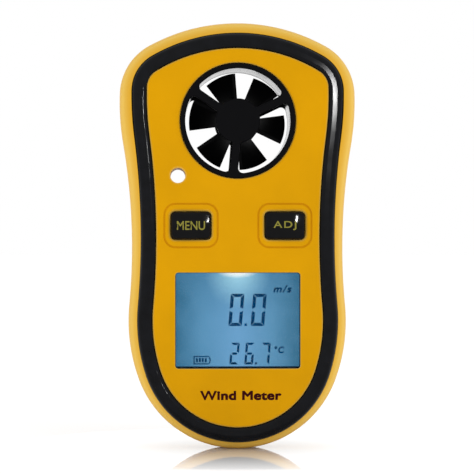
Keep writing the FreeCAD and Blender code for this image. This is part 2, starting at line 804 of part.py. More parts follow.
def at_radius(edge, radius):
    """True for an edge along Y that lies at that distance from the fan's axis."""
    if not runs_along_y(edge):
        return False
    place = edge.valueAt(edge.FirstParameter)
    return abs(math.hypot(place.x, place.z) - radius) < 1e-3


def lies_at(edge, level):
    return all(abs(vertex.Point.y - level) < 1e-6 for vertex in edge.Vertexes)


def mirror_of(source, label):
    """The same piece at the back of the duct."""
    made = doc.addObject("Part::Mirroring", label)
    made.Label = label
    made.Source = source
    made.Normal = V(0, 1, 0)
    made.setExpression("Placement.Base.y", bound("-rear_guard_shift"))
    SUBPARTS.append(made)


def make_duct():
    sleeve = new_body("duct_sleeve", z="fan_height")
    back = "guard_seat - rear_guard_shift"
    revolve(sleeve, [("duct_radius", "-guard_seat"), ("sleeve_radius", "-guard_seat"),
                     ("sleeve_radius", back), ("duct_radius", back)])
    doc.recompute()
    hole = new_sketch(sleeve, "XY_Plane", "-duct_radius + 2")
    add_circle(hole, "bead_hole", z="-bead_level")
    feature(sleeve, "Pocket", hole, Length="6")


def make_bearings():
    front = new_body("front_bearing", z="fan_height")
    mouth = "-(guard_seat - guard_boss_depth)"
    bottom = f"{mouth} - bearing_length"
    revolve(front, [("0", bottom), ("bearing_radius", bottom), ("bearing_radius", mouth),
                    ("bearing_bore", mouth), ("bearing_bore", f"{mouth} - bearing_bore_depth"),
                    ("0", f"{mouth} - bearing_bore_depth")])
    mirror_of(front, "rear_bearing")


def make_shaft():
    shaft = new_body("impeller_shaft", z="fan_height")
    reach = "guard_seat - guard_boss_depth + bearing_bore_depth - shaft_end_gap"
    front, back, cone = f"-({reach})", f"{reach} - rear_guard_shift", "0.35"
    revolve(shaft, [("0", front), ("shaft_radius - 0.4", front), ("shaft_radius", f"{front} + {cone}"),
                    ("shaft_radius", f"{back} - {cone}"), ("shaft_radius - 0.4", back), ("0", back)])


def blade():
    """One twisted blade, lofted through radial bars that turn as they go back."""
    steps, half, twist = 6, size("blade_half_height"), size("blade_twist")
    sections = []
    for step in range(steps + 1):
        share = step / steps
        turn = math.radians(size("blade_angle") + twist * (share - 0.5))
        out, aside = V(math.cos(turn), 0, math.sin(turn)), V(-math.sin(turn), 0, math.cos(turn))
        level = V(0, half * (2 * share - 1), 0)
        near, far, thick = 3.5, size("impeller_radius") + 1.5, size("blade_thickness") / 2
        corners = [out * near + aside * thick, out * far + aside * thick,
                   out * far - aside * thick, out * near - aside * thick]
        sections.append(Part.makePolygon([level + corner for corner in corners + corners[:1]]))
    return Part.makeLoft(sections, True, False)


def make_impeller():
    hub = cylinder(size("impeller_hub_radius"), -size("impeller_hub_half"), size("impeller_hub_half"))
    hub = hub.makeFillet(0.6, [edge for edge in hub.Edges if isinstance(edge.Curve, Part.Circle)])
    reach = ring_of(cylinder(size("impeller_radius"), -10, 10),
                    cylinder(size("impeller_hub_radius") - 0.6, -11, 11))
    blades = []
    for number in range(6):
        one = blade().common(reach)
        one.rotate(V(), V(0, -1, 0), 60 * number)
        blades.append(one)
    holes = [cylinder(size("shaft_radius"), -10, 10)]
    floor, back = "impeller_hub_half - magnet_length", size("impeller_hub_half")
    magnets = []
    for side in (-1, 1):
        holes.append(cylinder(size("magnet_radius"), size(floor), back, side * size("magnet_circle")))
        place = (f"{side} * magnet_circle", floor, "fan_height")
        magnets.append(primitive("Cylinder", "magnet", place, ALONG_Y,
                                 Radius="magnet_radius", Height="magnet_length"))
    add_shape("impeller", hub.multiFuse(blades).cut(holes).removeSplitter(), V(0, 0, size("fan_height")))
    loose("impeller_magnets", magnets)


# ---------------------------------------------------------------- keys


def make_key(label, x):
    """A crowned key cap with a flange behind the face and a post that rests on the switch stem."""
    wide, tall, rim = size("key_width"), size("key_tall"), 2 * size("key_flange")
    front, back = -size("key_flange_front"), -size("key_flange_back")
    cap = rounded_block(wide, tall, size("key_corner"), front - 10, front)
    cap = cap.common(Part.makeSphere(size("key_crown_radius"), V(0, size("key_crown_radius - key_front"), 0)))
    top = [face for face in cap.Faces if isinstance(face.Surface, Part.Sphere)][0]
    cap = cap.makeFillet(size("key_edge_round"), top.Edges)
    flange = rounded_block(wide + rim, tall + rim, size("key_corner + key_flange"), front, back)
    post = cylinder(size("stem_radius"), back, -size("stem_front"))
    add_shape(label, cap.fuse([flange, post]).removeSplitter(), V(x, 0, size("key_height")))


def make_switch(name, x):
    """A square switch on the board and the round stem that the key pushes into it."""
    housing = new_body(name + "_switch_body", x=x, z="key_height")
    base = new_sketch(housing, "XZ_Plane", "board_front")
    add_rectangle(base, "switch_side", "switch_side")
    feature(housing, "Pad", base, Length="switch_front - board_front")
    round_corners(housing, "0.4", runs_along_y)
    doc.recompute()
    bore = new_sketch(housing, "XZ_Plane", "switch_front")
    add_circle(bore, "stem_bore")
    feature(housing, "Pocket", bore, Length="switch_front - stem_bore_floor")
    stem = new_body(name + "_switch_stem", x=x, z="key_height")
    end = new_sketch(stem, "XZ_Plane", "stem_back")
    add_circle(end, "stem_radius")
    feature(stem, "Pad", end, Length="stem_front - stem_back")


# ---------------------------------------------------------------- window and display


def make_display():
    window = new_body("display_window")
    flange = new_sketch(window, "XZ_Plane", "window_flange_back")
    wide, tall = "window_width + 2 * window_flange", "window_tall + 2 * window_flange"
    add_rectangle(flange, wide, tall, z="window_height")
    rear = "front_crown - face_wall - adhesive_depth"
    feature(window, "Pad", flange, Length=f"{rear} - window_flange_back")
    doc.recompute()
    raised = new_sketch(window, "XZ_Plane", rear)
    add_rectangle(raised, "window_width - fit_gap", "window_tall - fit_gap", z="window_height")
    feature(window, "Pad", raised, Length=f"window_front - ({rear})")
    half = size("window_width") / 2
    round_corners(window, "window_corner - fit_gap / 2",
                  lambda edge: runs_along_y(edge) and abs(edge.Vertexes[0].Point.x) < half)
    plate("window_adhesive", wide, tall, "front_crown - face_wall", rear, "window_height",
          hollow=(f"{wide} - 2 * adhesive_border", f"{tall} - 2 * adhesive_border", "window_height"))
    plate("display_gasket", wide, tall, "window_flange_back", "gasket_back", "window_height",
          hollow=(f"{wide} - 2 * gasket_border", f"{tall} - 2 * gasket_border", "window_height"))

    levels = ["gasket_back"]
    for depth in ("polariser_depth", "glass_depth", "glass_depth", "polariser_depth", "guide_depth"):
        levels.append(f"{levels[-1]} - {depth}")
    middle, tall = "(glass_top + glass_base) / 2", "glass_top - glass_base"
    rear_middle, rear_tall = "(glass_top + rear_glass_base) / 2", "glass_top - rear_glass_base"
    plate("front_polariser", "glass_width - 0.8", f"{tall} - 0.8", levels[0], levels[1], middle)
    plate("display_front_glass", "glass_width", tall, levels[1], levels[2], middle)
    plate("display_rear_glass", "glass_width", rear_tall, levels[2], levels[3], rear_middle)
    plate("rear_polariser", "glass_width - 0.8", f"{rear_tall} - 0.8", levels[3], levels[4], rear_middle)
    plate("light_guide", "glass_width - 0.4", f"{rear_tall} - 0.4", levels[4], levels[5], rear_middle,
          hollow=("led_width + 0.2", "2 * led_tall", "glass_top - 0.2"))
    plate("backlight_led", "led_width", "led_tall", f"{levels[4]} - 0.1", levels[5], "glass_top - 0.6")
    inner_wide, inner_tall = "glass_width + 2 * holder_gap", f"{tall} + 2 * holder_gap"
    plate("display_holder", f"{inner_wide} + 2 * holder_border", f"{inner_tall} + 2 * holder_border",
          levels[1], "board_front", middle, corner="holder_corner", hollow=(inner_wide, inner_tall, middle))
    plate("zebra_strip", "zebra_width", "1.8", levels[2], "board_front", "glass_base + 1.1")


# ---------------------------------------------------------------- circuit board


def make_board():
    board = case_prism(size("board_inset"), -size("board_front"), -size("board_back"))
    top, left, beyond = size("board_top"), -size("board_tongue_left"), 130
    through = (-9, 9)
    holes = [block((-40, 40), through, (top, beyond)),
             block((-40, left), through, (size("board_shoulder"), beyond))]
    holes += [cylinder(size("case_boss_radius + 0.4"), *through, x, z) for x, z in case_screw_places()]
    holes += [cylinder(size("board_screw_radius + 0.2"), *through, x, z) for x, z in board_screw_places()]
    add_shape("main_board", board.cut(holes).removeSplitter())


def make_chips():
    legs = ("chip_leg_width", "chip_leg_length", "chip_leg_depth")
    pieces = [on_board("package", "0", "chip_height", "chip_side", "chip_side", "chip_depth")]
    for number in range(8):
        along = f"{number - 3.5} * chip_leg_pitch"
        for side in (-1, 1):
            out = f"{side} * chip_leg_offset"
            pieces.append(on_board("leg", along, f"chip_height + {out}", *legs))
            pieces.append(on_board("leg", out, f"chip_height + {along}", legs[1], legs[0], legs[2]))
    fused("controller_chip", pieces)

    foot = ("crystal_offset", "crystal_radius - board_back", "crystal_height")
    can = primitive("Cylinder", "crystal_can", foot, Radius="crystal_radius", Height="crystal_length")
    doc.recompute()
    crystal = doc.addObject("Part::Fillet", "clock_crystal")
    crystal.Label = "clock_crystal"
    crystal.Base = can
    corner = size("crystal_round")
    crystal.Edges = [(number, corner, corner) for number, edge in enumerate(can.Shape.Edges, 1)
                     if isinstance(edge.Curve, Part.Circle)]
    SUBPARTS.append(crystal)

    places = [(9.5, 49), (12.5, 49), (-9.5, 50), (-9.5, 53), (-13.0, 50), (-13.0, 53), (13.5, 60), (17, 60)]
    sizes = ("capacitor_length", "capacitor_width", "capacitor_depth")
    loose("chip_capacitors", [on_board("capacitor", x, z, *sizes) for x, z in places])


def make_sensors():
    """The speed sensor, which feels the impeller's magnets, and the temperature bead in the air duct."""
    middle, height = "sensor_offset", "sensor_height"
    pieces = [on_board("sensor_body", middle, height, "sensor_width", "sensor_tall", "sensor_depth")]
    outwards, aside = "((sensor_tall + sensor_leg_tall) / 2 - 0.1)", "sensor_leg_offset"
    leg = ("sensor_leg_width", "sensor_leg_tall", "sensor_leg_depth")
    for x, z in ((f"{middle} - {aside}", f"{height} - {outwards}"),
                 (f"{middle} + {aside}", f"{height} - {outwards}"), (middle, f"{height} + {outwards}")):
        pieces.append(on_board("sensor_leg", x, z, *leg))
    fused("speed_sensor", pieces)

    bead_height = "fan_height - bead_drop"
    pieces = [primitive("Sphere", "bead", ("0", "-bead_level", bead_height), Radius="bead_radius")]
    for side in (-1, 1):
        foot = (f"{side} * lead_offset", "-lead_level", "lead_foot")
        long = f"{bead_height} - lead_foot"
        pieces.append(primitive("Cylinder", "lead", foot, Radius="lead_radius", Height=long))
    fused("temperature_bead", pieces)


# ---------------------------------------------------------------- battery


def make_battery():
    cell = new_body("coin_cell", z="cell_height")
    front, step = "cell_back - cell_depth", "cell_back - cell_depth + cell_cap_depth"
    revolve(cell, [("0", front), ("cell_cap_radius", front), ("cell_cap_radius", step),
                   ("cell_radius - 0.3", step), ("cell_radius", f"{step} + 0.3"),
                   ("cell_radius", "cell_back - 0.25"),
                   ("cell_radius - 0.25", "cell_back"), ("0", "cell_back")])

    board, touch, rim = -size("board_back"), size("cell_back - cell_depth"), size("cell_radius")
    thick = size("contact_depth")
    spring = [(-7.0, board), (-3.5, board), (2.2, touch - thick - 0.05), (3.2, touch - thick - 0.55)]
    add_contact("negative_contact", spring, "contact_half")
    stand = [(rim + 0.1, 3.8), (12.6, 4.6), (12.6, board), (16.0, board)]
    add_contact("positive_contact", stand, "stand_half")


def add_contact(label, path, half_width):
    """A metal strip bent along a path of (x, level) corners and thickened on the left of that path."""
    thick = size("contact_depth")
    away = []
    for number, here in enumerate(path):
        normals = []
        for start, end in zip(path[max(number - 1, 0):], path[max(number - 1, 0) + 1:number + 2]):
            run = math.dist(start, end)
            normals.append(((start[1] - end[1]) / run, (end[0] - start[0]) / run))
        across, along = sum(one[0] for one in normals), sum(one[1] for one in normals)
        scale = len(normals) * thick / (across**2 + along**2)
        away.append((here[0] + across * scale, here[1] + along * scale))
    strip = new_body(label, z="cell_height")
    side = new_sketch(strip, "XY_Plane", f"-{half_width}")
    add_polygon(side, [(f"{x:.4f}", f"{level:.4f}") for x, level in path + away[::-1]])
    feature(strip, "Pad", side, Length=f"2 * {half_width}")


def make_battery_door():
    door = new_body("battery_door", z="cell_height")
    back, near, far = "back_face", "seal_radius - seal_groove_half", "seal_radius + seal_groove_half"
    revolve(door, [("0", "door_inner"), ("door_neck_radius", "door_inner"), ("door_neck_radius", "door_seat"),
                   (near, "door_seat"), (near, "seal_groove_top"), (far, "seal_groove_top"),
                   (far, "door_seat"), ("door_radius", "door_seat"), ("door_radius", f"{back} - 0.3"),
                   ("door_radius - 0.3", back), ("0", back)])
    doc.recompute()
    lug = new_sketch(door, "XZ_Plane", "-door_inner")
    add_lug(lug)
    made = feature(door, "Pad", lug, Length="lug_back - door_inner")
    made.Reversed = True
    doc.recompute()
    pattern = door.newObject("PartDesign::PolarPattern", "battery_door_pattern")
    pattern.Originals = [made]
    pattern.Axis = (lug, ["N_Axis"])
    pattern.Angle = 360
    pattern.Occurrences = 3
    door.Tip = pattern
    doc.recompute()
    slot = new_sketch(door, "XZ_Plane", "-back_face")
    add_rectangle(slot, "coin_slot_length", "coin_slot_width")
    cut = feature(door, "Pocket", slot, Length="coin_slot_depth")
    cut.Reversed = True
    half = size("coin_slot_length") / 2
    round_corners(door, "coin_slot_width / 2 - 0.1",
                  lambda edge: runs_along_y(edge) and abs(abs(edge.Vertexes[0].Point.x) - half) < 0.01)
    level = "lip_back + seal_section + 0.02"
    SUBPARTS.append(primitive("Torus", "battery_door_seal", ("0", level, "cell_height"), ALONG_Y,
                              Radius1="seal_radius", Radius2="seal_section"))


def add_lug(sketch):
    """The footprint of the bayonet lug at the top of the door, reaching into the neck."""
    half = math.radians(size("lug_angle") / 2)
    near, far = size("door_neck_radius") - 0.5, size("lug_radius")
    up = math.pi / 2
    turns = (up - half, up + half)
    for radius in (near, far):
        arc = sketch.addGeometry(Part.ArcOfCircle(Part.Circle(V(), V(0, 0, 1), radius), *turns))
        sketch.addConstraint(Sketcher.Constraint("Coincident", arc, 3, -1, 1))
    constraint = sketch.addConstraint(Sketcher.Constraint("Radius", 1, far))
    sketch.setExpression(f"Constraints[{constraint}]", bound("lug_radius"))
    for end, turn in enumerate(turns, 1):
        place = [V(radius * math.cos(turn), radius * math.sin(turn), 0) for radius in (near, far)]
        line = sketch.addGeometry(Part.LineSegment(*place))
        sketch.addConstraint(Sketcher.Constraint("Coincident", line, 1, 0, end))
        sketch.addConstraint(Sketcher.Constraint("Coincident", line, 2, 1, end))


# ---------------------------------------------------------------- fasteners


def screw(kind, x, z, seat, clearance):
    """A pan-head screw along Y with a cross recess; its head stands on the level seat and faces the back."""
    head, deep = size(kind + "_head_radius"), size(kind + "_head_depth")
    shank = cylinder(size(kind + "_radius"), clearance - size(kind + "_tip"), seat, x, z)
    top = cylinder(head, seat, seat + deep, x, z)
    top = top.makeFillet(0.3 * deep, [edge for edge in top.Edges if lies_at(edge, seat + deep)])
    half, reach = size("cross_slot_width") / 2, head * 0.62
    span = (seat + deep - size("cross_slot_depth"), seat + deep + 1)
    cross = block((x - half, x + half), span, (z - reach, z + reach))
    cross = cross.fuse(block((x - reach, x + reach), span, (z - half, z + half)))
    return shank.fuse(top).cut(cross)


def make_screws():
    case = [screw("case_screw", x, z, size("case_screw_seat"), 0.3) for x, z in case_screw_places()]
    add_shape("case_screws", Part.makeCompound(case))
    board = [screw("board_screw", x, z, -size("board_back"), 0.2) for x, z in board_screw_places()]
    add_shape("board_screws", Part.makeCompound(board))


# ---------------------------------------------------------------- build and write


def build():
    fill_sheet()
    make_front_shell()
    make_rear_shell()
    make_bands()
    make_guards()
    make_duct()
    make_bearings()
    make_shaft()
    make_impeller()
    for name, side in (("mode", -1), ("set", 1)):
        make_key(name + "_button", side * size("key_offset"))
        make_switch(name, f"{side} * key_offset")
    make_display()
    make_board()
    make_chips()
    make_sensors()
    make_battery()
    make_battery_door()
    make_screws()
    doc.recompute()


def check_and_write():
    for item in doc.Objects:
        if "Invalid" in item.State or "Error" in item.State:
            raise RuntimeError(f"{item.Label} did not build: {item.State}")
    os.makedirs("parts", exist_ok=True)
    for item in SUBPARTS:
        shape = item.Shape
        if shape.isNull() or not shape.isValid() or not shape.Solids:
            raise RuntimeError(f"{item.Label} has no valid solid")
        shape.exportStep(f"parts/{item.Label}.step")
        print(f"{item.Label:22s} {len(shape.Solids)} solids {shape.Volume:10.2f} mm3")


build()
check_and_write()
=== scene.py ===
"""The looks of the handheld weather meter: camera, lights, materials, lit display and printed marks.

Lengths are in metres in the frame of the CAD model: +Z up the case, -Y out of the display, +X to the right.
MM turns a size in millimetres into metres.
"""
import json
import math

import bmesh
import bpy
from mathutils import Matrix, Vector


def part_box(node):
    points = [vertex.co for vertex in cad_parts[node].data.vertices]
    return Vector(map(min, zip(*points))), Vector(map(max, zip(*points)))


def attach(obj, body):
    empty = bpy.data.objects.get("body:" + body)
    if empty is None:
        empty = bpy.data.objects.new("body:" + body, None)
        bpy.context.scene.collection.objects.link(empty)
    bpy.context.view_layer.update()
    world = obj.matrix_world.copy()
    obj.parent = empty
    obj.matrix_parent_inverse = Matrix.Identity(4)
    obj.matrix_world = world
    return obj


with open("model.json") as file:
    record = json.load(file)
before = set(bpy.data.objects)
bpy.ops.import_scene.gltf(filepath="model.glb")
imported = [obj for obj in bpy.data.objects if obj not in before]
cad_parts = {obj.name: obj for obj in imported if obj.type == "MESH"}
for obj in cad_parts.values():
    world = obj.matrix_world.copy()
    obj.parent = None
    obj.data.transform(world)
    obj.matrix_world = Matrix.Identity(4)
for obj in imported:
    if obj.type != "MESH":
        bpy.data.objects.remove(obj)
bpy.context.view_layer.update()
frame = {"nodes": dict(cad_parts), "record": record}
NODES = frame["nodes"]
MM = 0.001
FACE_DOME = 300 * MM
FACE_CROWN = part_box("front_shell")[0].y
KEY_CROWN = 32 * MM
WINDOW = {"wide": 30.7 * MM, "tall": 23.6 * MM, "height": 31.7 * MM}
WINDOW_TOP = WINDOW["height"] + WINDOW["tall"] / 2


# ---------------------------------------------------------------- camera, floor and lights


def make_camera():
    """Stands a little to the left of the face and halfway up it, at a guess of the photograph's distance."""
    distance, turn, height = 573 * MM, math.radians(-1.5), 52.2 * MM
    data = bpy.data.cameras.new("camera")
    data.sensor_width = 36
    data.lens = 175
    camera = bpy.data.objects.new("camera", data)
    camera.location = (distance * math.sin(turn), -distance * math.cos(turn), height)
    camera.rotation_euler = (math.pi / 2, 0, turn)
    bpy.context.scene.collection.objects.link(camera)
    bpy.context.scene.camera = camera


def make_floor():
    """White acrylic that mirrors what stands on it, less and less with the distance from its foot. Away from
    its foot it also glows with painted light, and the glow fades out towards the foot, which leaves the floor
    darker there.
    """
    mesh = bpy.data.meshes.new("floor")
    shape = bmesh.new()
    bmesh.ops.create_circle(shape, cap_ends=True, segments=96, radius=6.0)
    shape.to_mesh(mesh)
    shape.free()
    floor = bpy.data.objects.new("floor", mesh)
    bpy.context.scene.collection.objects.link(floor)
    look = Look("floor_white", (0.82, 0.82, 0.82), roughness=0.03)
    distance = look.add("ShaderNodeVectorMath", operation="LENGTH")
    look.link(look.place, distance.inputs[0])
    near = look.add("ShaderNodeMapRange", interpolation_type="SMOOTHSTEP")
    for socket, value in (("From Min", 12 * MM), ("From Max", 58 * MM), ("To Min", 1.0), ("To Max", 0.0)):
        near.inputs[socket].default_value = value
    look.link(distance.outputs["Value"], near.inputs["Value"])
    look.link(near.outputs["Result"], look.shader.inputs["Specular IOR Level"])
    # Painted light: the floor glows far from the foot and hardly at all near it, which darkens the floor
    # round the foot.
    painted_floor_glow = look.ramp(near.outputs["Result"], (0.0, 0.4), (1.0, 0.03))
    look.link(painted_floor_glow, look.shader.inputs["Emission Strength"])
    look.set("Emission Color", (1, 1, 1, 1))
    mesh.materials.append(look.material)


def add_light(name, place, aim, width, tall, power):
    """An even rectangle of light that faces aim."""
    data = bpy.data.lights.new(name, "AREA")
    data.shape = "RECTANGLE"
    data.size = width
    data.size_y = tall
    data.energy = power
    light = bpy.data.objects.new(name, data)
    light.location = place
    light.rotation_euler = (Vector(aim) - Vector(place)).to_track_quat("-Z", "Y").to_euler()
    bpy.context.scene.collection.objects.link(light)
    return light


def make_lights():
    """Two soft lights that make no reflections, and two small ones that make nothing but a reflection.

    Each small one reaches only the pieces named beside it, where the photograph shows a sharp highlight.
    """
    middle = (0, 0, 55 * MM)
    for name, place, width, tall, power in (("key_light", (0.55, -0.8, 0.75), 0.5, 0.5, 1.6),
                                            ("fill_light", (-0.8, -0.7, 0.3), 0.6, 0.8, 0.8)):
        add_light(name, place, middle, width, tall, power).visible_glossy = False
    for name, place, width, tall, power, lit in (
            ("key_glint", (0.153, -0.6, 0.116), 0.018, 0.045, 0.6, ("mode_button", "set_button")),
            ("band_glint", (0.155, -0.6, 0.123), 0.006, 0.01, 0.23, ("front_band",))):
        light = add_light(name, place, middle, width, tall, power)
        light.rotation_euler.rotate_axis("Z", math.radians(-12))
        light.visible_diffuse = False
        light.light_linking.receiver_collection = bpy.data.collections.new(name)
        for node in lit:
            light.light_linking.receiver_collection.objects.link(NODES[node])


def make_studio():
    """A white tent, a little brighter for what gloss reflects, so that the floor mirrors it as white."""
    world = bpy.data.worlds.new("studio")
    bpy.context.scene.world = world
    world.use_nodes = True
    nodes, links = world.node_tree.nodes, world.node_tree.links

    def node(kind, inputs, **settings):
        made = nodes.new(kind)
        for name, value in settings.items():
            setattr(made, name, value)
        for name, value in inputs.items():
            if isinstance(value, bpy.types.NodeSocket):
                links.new(value, made.inputs[name])
            else:
                made.inputs[name].default_value = value
        return made

    rays = node("ShaderNodeLightPath", {})
    tent = node("ShaderNodeMix", {"Factor": rays.outputs["Is Glossy Ray"], "A": 0.75, "B": 1.15})
    camera_ray = rays.outputs["Is Camera Ray"]
    seen = node("ShaderNodeMix", {"Factor": camera_ray, "A": tent.outputs["Result"], "B": 1.0})
    links.new(seen.outputs["Result"], nodes["Background"].inputs["Strength"])
    nodes["Background"].inputs["Color"].default_value = (1, 1, 1, 1)


# ---------------------------------------------------------------- materials


def tint(red, green, blue):
    """A colour given as a screen shows it, 0 to 255, in the linear values that shaders use."""
    return tuple((part / 255 / 12.92) if part <= 10 else ((part / 255 + 0.055) / 1.055) ** 2.4
                 for part in (red, green, blue))


class Look:
    """A material, with short ways to add the textures that the pieces share."""

    def __init__(self, name, colour, roughness=0.4, **sockets):
        self.material = bpy.data.materials.new(name)
        self.material.use_nodes = True
        self.tree = self.material.node_tree
        self.shader = self.tree.nodes["Principled BSDF"]
        self.colour = colour
        self.place = self.add("ShaderNodeTexCoord").outputs["Object"]
        self.set("Base Color", (*colour, 1))
        self.set("Roughness", roughness)
        names = {"metal": "Metallic", "coat": "Coat Weight", "specular": "Specular IOR Level",
                 "alpha": "Alpha"}
        for short, value in sockets.items():
            self.set(names[short], value)

    def add(self, kind, **settings):
        made = self.tree.nodes.new(kind)
        for name, value in settings.items():
            setattr(made, name, value)
        return made

    def set(self, socket, value):
        self.shader.inputs[socket].default_value = value

    def link(self, output, socket):
        self.tree.links.new(output, socket)

    def stretched(self, stretch):
        """The object's coordinates with each axis multiplied by its own number."""
        mapping = self.add("ShaderNodeMapping")
        mapping.inputs["Scale"].default_value = stretch
        self.link(self.place, mapping.inputs["Vector"])
        return mapping.outputs["Vector"]

    def noise(self, size, detail=3.0, stretch=None):
        """Noise whose blotches are about that large, in metres."""
        made = self.add("ShaderNodeTexNoise")
        made.inputs["Scale"].default_value = 1 / size
        made.inputs["Detail"].default_value = detail
        self.link(self.stretched(stretch) if stretch else self.place, made.inputs["Vector"])
        return made.outputs["Fac"]

    def ramp(self, factor, *stops):
        """Colours or grey levels spread over factor; each stop is (position, value)."""
        made = self.add("ShaderNodeValToRGB")
        elements = made.color_ramp.elements
        while len(elements) < len(stops):
            elements.new(0.5)
        for element, (position, value) in zip(elements, stops):
            element.position = position
            element.color = (*value, 1) if isinstance(value, tuple) else (value, value, value, 1)
        self.link(factor, made.inputs["Fac"])
        return made.outputs["Color"]

    def mix(self, factor, first, second, how="MIX"):
        """Two colours, each a tuple or an output, mixed by a number or an output."""
        made = self.add("ShaderNodeMix", data_type="RGBA", blend_type=how)
        for socket, value in ((0, factor), (6, first), (7, second)):
            if isinstance(value, bpy.types.NodeSocket):
                self.link(value, made.inputs[socket])
            elif isinstance(value, tuple):
                made.inputs[socket].default_value = (*value, 1)
            else:
                made.inputs[socket].default_value = value
        return made.outputs[2]

    def vary_colour(self, darker, lighter, size, detail=3.0, stretch=None):
        """Mottles the base colour between two multiples of itself."""
        low = tuple(part * darker for part in self.colour)
        high = tuple(min(part * lighter, 1.0) for part in self.colour)
        mottle = self.ramp(self.noise(size, detail, stretch), (0.3, low), (0.7, high))
        self.link(mottle, self.shader.inputs["Base Color"])
        return mottle

    def vary_roughness(self, low, high, size, detail=3.0, stretch=None):
        level = self.ramp(self.noise(size, detail, stretch), (0.3, low), (0.7, high))
        self.link(level, self.shader.inputs["Roughness"])

    def bump(self, *layers):
        """Adds surface relief; each layer is (size, height) in metres, with an optional stretch."""
        normal = None
        for size, height, *stretch in layers:
            made = self.add("ShaderNodeBump")
            made.inputs["Strength"].default_value = 1.0
            made.inputs["Distance"].default_value = height
            self.link(self.noise(size, 2.0, *stretch), made.inputs["Height"])
            if normal:
                self.link(normal, made.inputs["Normal"])
            normal = made.outputs["Normal"]
        self.link(normal, self.shader.inputs["Normal"])

    def pale_sides(self, colour, amount):
        """Paints the slopes between faces and sides paler, as the photograph's light makes them look."""
        split = self.add("ShaderNodeSeparateXYZ")
        self.link(self.add("ShaderNodeNewGeometry").outputs["Normal"], split.inputs["Vector"])
        facing = self.add("ShaderNodeMath", operation="ABSOLUTE")
        self.link(split.outputs["Y"], facing.inputs[0])
        slope = self.ramp(facing.outputs["Value"],
                          (0.0, 0.3 * amount), (0.3, 0.8 * amount), (0.55, amount), (0.985, 0.0))
        base = self.shader.inputs["Base Color"]
        self.link(self.mix(slope, base.links[0].from_socket, colour), base)


def plastic(name, colour, roughness, grain=0.3 * MM, relief=0.004 * MM, **sockets):
    """Moulded plastic with a fine spark-eroded grain and slow changes in colour and gloss."""
    look = Look(name, colour, roughness, **sockets)
    look.vary_colour(0.95, 1.05, size=14 * MM)
    look.vary_roughness(roughness * 0.85, roughness * 1.2, size=3 * MM)
    look.bump((grain, relief), (9 * MM, 0.012 * MM))
    return look


def rubber(name, colour, roughness, relief=0.0015 * MM, **sockets):
    """Smooth moulded rubber: faint flow marks, dust in its pores."""
    look = Look(name, colour, roughness, **sockets)
    look.vary_colour(0.7, 1.5, size=2.5 * MM, detail=5)
    look.vary_roughness(roughness * 0.75, roughness * 1.3, size=5 * MM)
    look.bump((0.18 * MM, relief))
    return look


def metal(name, colour, roughness, stretch=(1, 1, 12), **sockets):
    """Plated or turned metal with fine lines across the stretched axis."""
    look = Look(name, colour, roughness, metal=1.0, **sockets)
    look.vary_colour(0.86, 1.08, size=2 * MM, stretch=stretch)
    look.vary_roughness(roughness * 0.7, roughness * 1.5, size=1.2 * MM, stretch=stretch)
    look.bump((0.25 * MM, 0.002 * MM, stretch))
    return look


def clear(name, colour, roughness=0.02, **sockets):
    """Clear sheet with the lightest smears on it."""
    look = Look(name, colour, roughness, **sockets)
    look.vary_roughness(roughness * 0.6, roughness * 2.0, size=6 * MM, stretch=(1, 1, 0.4))
    look.vary_colour(0.98, 1.0, size=9 * MM)
    return look


def duct_look():
    """Polished black plastic with three shallow rings turned into it."""
    look = Look("duct_black", tint(20, 20, 23), 0.14, specular=1.0)
    look.vary_colour(0.9, 1.1, size=8 * MM)
    split = look.add("ShaderNodeSeparateXYZ")
    look.link(look.place, split.inputs["Vector"])
    depth = look.add("ShaderNodeMapRange")
    low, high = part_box("duct_sleeve")
    depth.inputs["From Min"].default_value = low.y
    depth.inputs["From Max"].default_value = high.y
    look.link(split.outputs["Y"], depth.inputs["Value"])
    stops = [(0.0, 1.0)]
    for ring in (0.24, 0.5, 0.78):
        stops += [(ring - 0.03, 1.0), (ring, 0.0), (ring + 0.03, 1.0)]
    rings = look.add("ShaderNodeBump")
    rings.inputs["Distance"].default_value = 0.12 * MM
    look.link(look.ramp(depth.outputs["Result"], *stops), rings.inputs["Height"])
    look.link(rings.outputs["Normal"], look.shader.inputs["Normal"])
    look.vary_roughness(0.12, 0.18, size=4 * MM)
    return look


def window_look():
    """Clear acrylic: seen through straight on, glossy at a slant."""
    look = clear("window_clear", tint(30, 40, 44), 0.02, specular=0.5)
    slant = look.add("ShaderNodeLayerWeight")
    slant.inputs["Blend"].default_value = 0.3
    look.link(look.ramp(slant.outputs["Facing"], (0.25, 0.03), (1.0, 0.5)), look.shader.inputs["Alpha"])
    return look


def case_look():
    look = plastic("case_yellow", tint(219, 157, 0), 0.36, relief=0.0025 * MM, specular=0.05)
    look.pale_sides(tint(246, 206, 100), 0.8)
    return look


